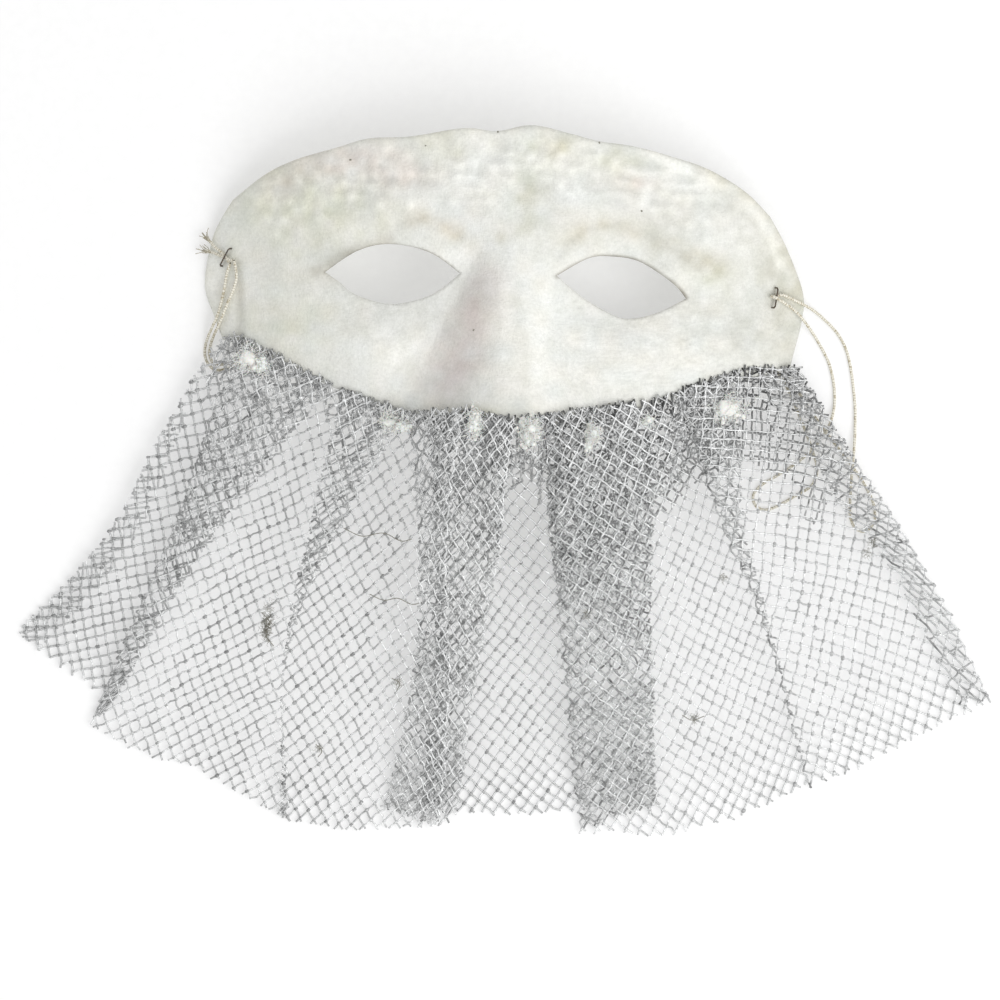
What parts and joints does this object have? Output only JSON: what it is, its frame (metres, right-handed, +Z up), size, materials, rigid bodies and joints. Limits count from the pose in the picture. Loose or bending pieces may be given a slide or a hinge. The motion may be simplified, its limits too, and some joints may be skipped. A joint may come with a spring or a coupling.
{
  "type": "domino mask",
  "caption": "Moulded felt half mask with two eye holes, a gathered net veil glued along its lower edge and a doubled elastic stapled at the temples, lying face up",
  "frame": {"origin": "middle of the bounding box of the mask and its veil, on the table that it lies on; the free elastic is left out of that box", "axes": "+Z up out of the face, +X across the face towards the right of the picture, +Y from the veil's hem up to the forehead"},
  "size_m": [0.277, 0.202, 0.0526],
  "materials": {
    "felt": "off-white pressed felt, matt and fibrous, pebbled by the mould, brownish in the brow creases",
    "net": "silvery grey knotted net of thin metallised thread",
    "elastic": "cream braided elastic with fine darker flecks",
    "staple": "dull staple wire, dark with age",
    "glue": "dried whitish glue with felt fibres in it"
  },
  "bodies": {
    "root": {"mask_shell": "felt", "net_veil": "net", "elastic_strand_1": "elastic", "elastic_strand_2": "elastic", "elastic_knot": "elastic", "elastic_hitch": "elastic", "staple_left": "staple", "staple_right": "staple", "glue_dab_1": "glue", "glue_dab_2": "glue", "glue_dab_3": "glue", "glue_dab_4": "glue", "glue_dab_5": "glue"}
  },
  "joints": []
}
